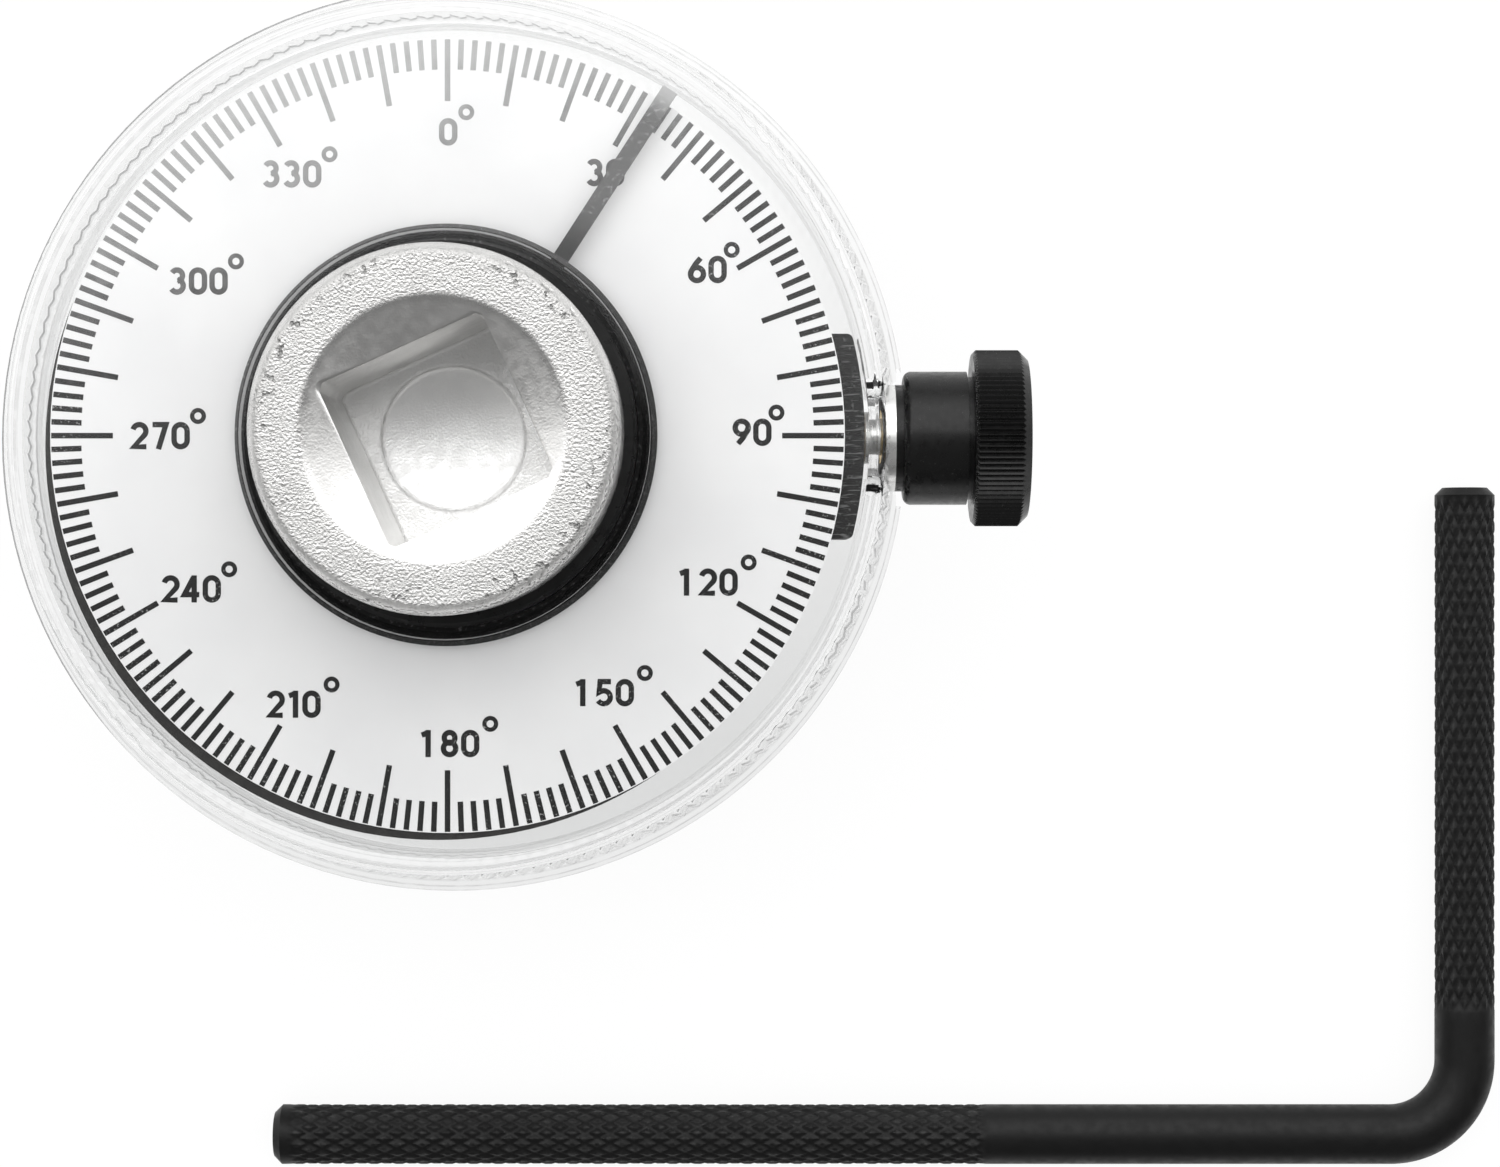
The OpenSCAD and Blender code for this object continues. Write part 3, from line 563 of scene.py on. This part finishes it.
def ink_ribbon(points, width, closed, ink, layer=0):
    """Adds a flat ink line of even width along points, with mitred corners, to ink = (points, faces).
    Strokes that cross lie on layers of their own."""
    count = len(points)
    flat = [Vector(point) for point in points]
    first = len(ink[0])
    for i, here in enumerate(flat):
        arms = []
        if closed or i:
            arms.append((here - flat[i - 1]).normalized())
        if closed or i < count - 1:
            arms.append((flat[(i + 1) % count] - here).normalized())
        along = (arms[0] + arms[-1]).normalized()
        shaded_low_side = Vector((-along.y, along.x))
        reach = width / 2 / max(0.5, shaded_low_side.dot(Vector((-arms[0].y, arms[0].x))))
        for side in (1, -1):
            spot = here + shaded_low_side * (reach * side)
            for height in (0.0, INK_RISE + layer * LAYER_RISE):
                ink[0].append((spot.x * MM, spot.y * MM, label_top + height))
    for i in range(count if closed else count - 1):
        a = first + 4 * i
        b = first + 4 * ((i + 1) % count)
        ink[1].append((a + 1, a + 3, b + 3, b + 1))
        ink[1].append((a, a + 1, b + 1, b))
        ink[1].append((a + 3, a + 2, b + 2, b + 3))


lines = ([], [])
for mark in range(0, 360, 2):
    turn = math.radians(90 - mark)
    inner = LINE_IN_SHORT if mark % 10 else LINE_IN_LONG
    ends = [(radius * math.cos(turn), radius * math.sin(turn)) for radius in (inner, LINE_OUT)]
    ink_ribbon(ends, LINE_W, False, lines)

figures = ([], [])
for mark, (centre_x, centre_y) in NUMBER_PLACES.items():
    text = str(mark)
    widths = [ONE_PITCH if digit == "1" else DIGIT_PITCH for digit in text]
    x = centre_x - sum(widths) / 2
    for place, (digit, width) in enumerate(zip(text, widths)):
        digit_x = x + width / 2 - (LEADING_ONE_GAP if digit == "1" and place == 0 else 0.0)
        for layer, (stroke, closed) in enumerate(digit_strokes(digit)):
            moved = [(px + digit_x, py + centre_y) for px, py in stroke]
            ink_ribbon(moved, STROKE_W, closed, figures, layer)
        x += width
    ring_x = centre_x + RING_SHIFT[len(text)]
    ink_ribbon(arc(ring_x, centre_y + RING_RISE, RING_R, 0, 360, 28)[:-1], RING_W, True, figures)

black_ink, tree, shader = new_finish("printing_ink")
shader.inputs["Specular IOR Level"].default_value = 0.15
specks = ramp_between(tree, grain(tree, 0.20, detail=4.0), 0.54, 0.66)
worn = ramp_between(tree, grain(tree, 4.0, detail=2.0), 0.36, 0.60)
rubbed_off = product(tree, specks, worn, RUBBED_SHARE)
patchy = product(tree, maths(tree, "SUBTRACT", grain(tree, 1.1, detail=5.0), 0.5), PATCHY_SHARE)
# Painted glare: the ink is made paler towards zero, where the softbox's glare lies on the cover; the
# random patches are the ink's own.
ink_glare = product(tree, reach_along(tree, GLARE_TURN), 1 / (GLARE_REACH * MM))
glare_and_patches = maths(tree, "ADD", ink_glare, patchy)
colour = tint(tree, maths(tree, "MAXIMUM", rubbed_off, glare_and_patches), (0.0, neutral(0.005)),
              (0.36, neutral(0.012)), (0.55, neutral(0.11)), (0.68, neutral(0.26)),
              (0.95, neutral(0.44)))
tree.links.new(colour, shader.inputs["Base Color"])
soften(tree, shader, 0.5, 0.45, 0.60)
for name, ink in (("scale_lines", lines), ("scale_figures", figures)):
    printed = mesh_piece(name, *ink)
    printed.data.materials.append(black_ink)
    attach(printed, "dial_housing")

# Small screws: thread-forming pan heads, cold headed from wire and zinc plated. Three hold the scale
# plate and two the clamp block, all driven from below; the cross recess in each head is shown as
# relief, painted dark inside as shade.
SCALE_SCREW_R = 22.0
BLOCK_SCREW_X = 24.6
BLOCK_SCREW_Y = 5.2
CROSS_ARM = 1.15
CROSS_HALF_W = 0.24
CROSS_FADE = 0.12
CROSS_DEPTH = 0.30
SCALE_SCREWS_APART = math.radians(120)


def screw_finish(name, shaded_low_side, along):
    """Zinc plate with a cross recess centred where across and along are 0, painted dark inside as shade.
    """
    material, tree, shader = new_finish(name, metallic=1.0)
    u = maths(tree, "ABSOLUTE", shaded_low_side(tree))
    v = maths(tree, "ABSOLUTE", along(tree))
    bars = []
    for length, width in ((u, v), (v, u)):
        in_length = step_mm(tree, length, CROSS_ARM, CROSS_ARM - CROSS_FADE)
        in_width = step_mm(tree, width, CROSS_HALF_W, CROSS_HALF_W - CROSS_FADE)
        bars.append(product(tree, in_length, in_width))
    recess = maths(tree, "MAXIMUM", *bars)
    plated = tint(tree, grain(tree, 0.7),
                  (0.3, (0.46, 0.47, 0.48, 1)), (0.7, (0.60, 0.61, 0.61, 1)))
    # Painted shade: the cross recess is coloured near black, the shade inside it.
    tree.links.new(blend_shade(tree, recess, plated, neutral(0.05)), shader.inputs["Base Color"])
    soften(tree, shader, 0.4, 0.24, 0.40)
    emboss(tree, shader, recess, CROSS_DEPTH)
    return material


def from_scale_screw(tree, operation, start):
    """Distance from the nearest scale screw, radially for COSINE and sideways for SINE."""
    turn = maths(tree, "ARCTAN2", place_axis(tree, "Y"), place_axis(tree, "X"))
    wrapped = add_node(tree, "Math", {"operation": "WRAP"}, i0=turn, i1=0.0, i2=SCALE_SCREWS_APART)
    from_middle = maths(tree, "SUBTRACT", wrapped.outputs[0], SCALE_SCREWS_APART / 2)
    reach = product(tree, radius_from_axis(tree), maths(tree, operation, from_middle))
    return maths(tree, "SUBTRACT", reach, start * MM)


def from_block_screw(tree, axis, start):
    """Distance from the nearest block screw along X or Y; the two lie alike on both sides of X."""
    reach = place_axis(tree, axis)
    if axis == "Y":
        reach = maths(tree, "ABSOLUTE", reach)
    return maths(tree, "SUBTRACT", reach, start * MM)


dress("scale_screws", screw_finish("scale_screw_zinc",
                                   lambda tree: from_scale_screw(tree, "COSINE", SCALE_SCREW_R),
                                   lambda tree: from_scale_screw(tree, "SINE", 0.0)))
dress("block_screws", screw_finish("block_screw_zinc",
                                   lambda tree: from_block_screw(tree, "X", BLOCK_SCREW_X),
                                   lambda tree: from_block_screw(tree, "Y", BLOCK_SCREW_Y)))

# Clamp block: black glass-filled nylon under the edge of the scale, bored for the rod. It shows as a
# black crescent beside 90 degrees, dusty and scuffed where the rod and the label have rubbed it.
block_black, tree, shader = new_finish("block_black")
shader.inputs["Specular IOR Level"].default_value = 0.20
dust = ramp_between(tree, grain(tree, 0.35, detail=5.0), 0.58, 0.74)
scratches = ramp_between(tree, grain(tree, 0.30, detail=5.0, stretch=(0.25, 2.2, 1)), 0.56, 0.68)
colour = tint(tree, maths(tree, "MAXIMUM", dust, scratches), (0.0, neutral(0.005)),
              (1.0, neutral(0.12)))
tree.links.new(colour, shader.inputs["Base Color"])
soften(tree, shader, 0.6, 0.38, 0.55)
emboss(tree, shader, grain(tree, 0.2), 0.008)
dress("clamp_block", block_black)

# Threaded insert and clamp pad: turned from free-cutting brass, the insert pressed into the block
# and the pad swaged on the end of the stud so that it can swivel against the rod.
brass, tree, shader = new_finish("turned_brass", metallic=1.0)
mottle(tree, shader, 0.8, (0.58, 0.40, 0.15, 1), (0.72, 0.54, 0.25, 1))
soften(tree, shader, 0.4, 0.22, 0.36)
emboss(tree, shader, grain(tree, 0.10, stretch=(4, 0.3, 0.3)), 0.004)
dress("thread_insert", brass)
dress("clamp_pad", brass)

# Clamp stud: rolled steel thread, bright nickel plated, pressed into the knob. The thread is shown
# as a fine ribbed relief on the shank.
STUD_PITCH = 0.7
STUD_RELIEF = 0.06
stud_nickel, tree, shader = new_finish("stud_nickel", metallic=1.0)
ribs = maths(tree, "SINE", product(tree, place_axis(tree, "X"), 2 * math.pi / (STUD_PITCH * MM)))
emboss(tree, shader, maths(tree, "ADD", product(tree, ribs, 0.5), 0.5), STUD_RELIEF)
mottle(tree, shader, 0.7, (0.78, 0.78, 0.77, 1), (0.88, 0.88, 0.87, 1))
soften(tree, shader, 0.4, 0.26, 0.40)
dress("clamp_stud", stud_nickel)

# Clear cover: the moulded cup over the scale, with V grooves round its wall to grip and a plain lip
# under them. Pale and very clear, with a slight swell from the mould and light handling scuffs; grey
# lines are painted in its corners as shade, and a dark ring round the hole as a painted reflection of
# the hub.
HOLE_EDGE_R = 15.1
RIM_SHADE_LINES = ((31.2, 0.07, 0.30), (31.62, 0.06, 0.30), (33.22, 0.16, 0.40),
            (33.72, 0.06, 0.45), (34.02, 0.05, 0.25))
dress("clear_cover", clear_plastic("clear_cover", 0.008, 0.10, HOLE_EDGE_R, RIM_SHADE_LINES))

# Pointer hub and pointer: the hub is turned from black acetal and pressed on the journal under the
# head; the pointer is a stamped strip of blackened sheet held on its flange, painted paler along its
# arm and at its tip as glare, with a painted sheen on its ring.
hub_black, tree, shader = new_finish("hub_black")
shader.inputs["Specular IOR Level"].default_value = 0.22
mottle(tree, shader, 1.0, neutral(0.004), neutral(0.008))
soften(tree, shader, 0.7, 0.26, 0.40)
emboss(tree, shader, turned_lines(tree, 0.35), 0.002)
dress("pointer_hub", hub_black)

ARM_RADII = (15.8, 20.5)
TIP_RADII = (27.6, 30.2)
POINTER_RING_R = 15.55
SHEEN_TURN = 128
SHEEN_SPAN = (-4, 13)
GLARE_PALE = 0.45
SHEEN_PALE = 0.40
pointer_black, tree, shader = new_finish("pointer_black")
shader.inputs["Specular IOR Level"].default_value = 0.15
flecks = product(tree, ramp_between(tree, grain(tree, 0.3, detail=4.0), 0.52, 0.72), 0.25)
from_axis = radius_from_axis(tree)
# Painted glare: the pointer is made paler along its arm and at its tip, and a painted sheen lies on its
# ring towards the light; only the flecks are its own.
arm_glare = step_mm(tree, from_axis, *ARM_RADII, 0.0, GLARE_PALE)
tip_glare = step_mm(tree, from_axis, *TIP_RADII, 0.0, GLARE_PALE)
on_ring = maths(tree, "LESS_THAN", from_axis, POINTER_RING_R * MM)
towards_sheen = step_mm(tree, reach_along(tree, SHEEN_TURN), *SHEEN_SPAN, 0.0, SHEEN_PALE)
ring_sheen = product(tree, on_ring, towards_sheen)
painted_glare_and_sheen = maths(tree, "MAXIMUM", maths(tree, "ADD", arm_glare, tip_glare), ring_sheen)
colour = tint(tree, maths(tree, "ADD", painted_glare_and_sheen, flecks), (0.0, neutral(0.006)),
              (0.45, neutral(0.10)), (0.90, neutral(0.42)))
tree.links.new(colour, shader.inputs["Base Color"])
soften(tree, shader, 0.6, 0.35, 0.50)
emboss(tree, shader, grain(tree, 0.25), 0.006)
dress("pointer", pointer_black)

# Thumb knob: turned black acetal with a plain barrel and a straight-knurled head. The barrel keeps
# a satin sheen with faint tool lines, a little lint sits in the knurl, and the end of the nose that
# runs in the cover's wall has a bright plated sleeve.
NOSE_END_X = 33.15
NOSE_FADE = 0.02
NOSE_PLATE = (0.84, 0.84, 0.83, 1)
knob_black, tree, shader = new_finish("knob_black")
shader.inputs["Specular IOR Level"].default_value = 0.31
on_nose = step_mm(tree, place_axis(tree, "X"), NOSE_END_X, NOSE_END_X - NOSE_FADE)
lint = ramp_between(tree, grain(tree, 0.22, detail=4.0), 0.66, 0.78)
black = tint(tree, lint, (0.0, neutral(0.003)), (1.0, neutral(0.03)))
tree.links.new(blend_shade(tree, on_nose, black, NOSE_PLATE), shader.inputs["Base Color"])
tree.links.new(on_nose, shader.inputs["Metallic"])
soften(tree, shader, 0.6, 0.24, 0.38)
emboss(tree, shader, grain(tree, 0.14, stretch=(3, 0.2, 0.2)), 0.003, 0.05)
dress("thumb_knob", knob_black)

# Holding rod: drawn steel bar bent to a right angle, both ends rolled with a diamond knurl so that
# the clamp can bite, then black oxided. The crests of the knurl are rubbed to a dull grey.
KNURL_ROUND = 16
KNURL_PITCH = 2.0
KNURL_DEPTH = 0.20
KNURL_FADE = 0.8
ROD_SIDES = 96
STEP_KNURL = KNURL_PITCH / 12
STEP_BEND = 0.35
STEP_PLAIN = 1.0
RIDGE_GAIN = 1.35
WEAR_GAIN = 4
rod_low, rod_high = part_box("holding_rod")
rod_r = (rod_high.z - rod_low.z) / 2 / MM
long_start = rod_low.x / MM
long_y = rod_low.y / MM + rod_r
short_x = rod_high.x / MM - rod_r
short_end = rod_high.y / MM
BEND_R = 6.0
CHAMFER = 0.6
LONG_KNURL = (1.2, 57.1)
SHORT_KNURL = (0.6, 42.0)
long_run = short_x - BEND_R - long_start
short_run = short_end - long_y - BEND_R
bend_run = BEND_R * math.pi / 2
total_run = long_run + bend_run + short_run


def rod_place(run):
    """Centre of the rod and its side direction at a length along it from the end of the long arm."""
    if run <= long_run:
        return Vector((long_start + run, long_y)), Vector((0, 1))
    if run <= long_run + bend_run:
        turn = (run - long_run) / BEND_R
        side = Vector((-math.sin(turn), math.cos(turn)))
        return Vector((short_x - BEND_R, long_y + BEND_R)) - side * BEND_R, side
    return Vector((short_x, long_y + BEND_R + run - long_run - bend_run)), Vector((-1, 0))


def knurl_share(run):
    """How deep the knurl is at a place along the rod, 0 to 1."""
    inside = [min(at - low, high - at) / KNURL_FADE
              for at, (low, high) in ((run, LONG_KNURL), (total_run - run, SHORT_KNURL))]
    return min(1.0, max(0.0, *inside))


def groove_depth(run, turn):
    """Depth of the two crossing sets of V grooves, 0 on the crests and 1 in the grooves."""
    cells = KNURL_ROUND * turn / (2 * math.pi)
    along = run / KNURL_PITCH
    ridges = [abs(((cells + sign * along) % 1.0) * 2 - 1) for sign in (1, -1)]
    return 1 - min(1.0, RIDGE_GAIN * min(1 - ridges[0], 1 - ridges[1]))


runs = [0.0, CHAMFER]
while runs[-1] < total_run - CHAMFER - 0.01:
    here = runs[-1]
    if knurl_share(here + STEP_KNURL) > 0 or knurl_share(here) > 0:
        step = STEP_KNURL
    elif long_run - 1 < here < long_run + bend_run + 1:
        step = STEP_BEND
    else:
        step = STEP_PLAIN
        while step > STEP_KNURL and knurl_share(here + step) > 0:
            step -= STEP_KNURL
    runs.append(min(here + step, total_run - CHAMFER))
runs.append(total_run)
points = []
wear = []
for run in runs:
    centre, side = rod_place(run)
    share = knurl_share(run)
    end_cut = CHAMFER if run in (0.0, total_run) else 0.0
    for j in range(ROD_SIDES):
        turn = 2 * math.pi * j / ROD_SIDES
        groove = groove_depth(run, turn) if share else 0.0
        radius = rod_r - end_cut - KNURL_DEPTH * share * groove
        flat = centre + side * (radius * math.cos(turn))
        points.append((flat.x * MM, flat.y * MM, (rod_r + radius * math.sin(turn)) * MM))
        wear.append(share * max(0.0, 1 - WEAR_GAIN * groove))
faces = []
for i in range(len(runs) - 1):
    for j in range(ROD_SIDES):
        a = i * ROD_SIDES + j
        b = i * ROD_SIDES + (j + 1) % ROD_SIDES
        faces.append((a, a + ROD_SIDES, b + ROD_SIDES, b))
faces.append(tuple(range(ROD_SIDES)))
faces.append(tuple((len(runs) - 1) * ROD_SIDES + j for j in reversed(range(ROD_SIDES))))
rod = mesh_piece("knurled_rod", points, faces)
crests = rod.data.attributes.new("wear", "FLOAT", "POINT")
crests.data.foreach_set("value", wear)
rod.data.shade_smooth()
rod.data.set_sharp_from_angle(angle=math.radians(38))
oxide, tree, shader = new_finish("black_oxide")
shader.inputs["Specular IOR Level"].default_value = 0.24
rubbed = add_node(tree, "Attribute", {"attribute_name": "wear"}).outputs["Fac"]
uneven = ramp_between(tree, grain(tree, 0.7, detail=4.0), 0.40, 0.70)
shown = product(tree, rubbed, uneven)
colour = tint(tree, shown, (0.0, neutral(0.0035)), (1.0, neutral(0.030)))
tree.links.new(colour, shader.inputs["Base Color"])
soften(tree, shader, 0.8, 0.40, 0.55)
emboss(tree, shader, grain(tree, 0.18), 0.004)
rod.data.materials.append(oxide)
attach(rod, "holding_rod")
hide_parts("holding_rod")
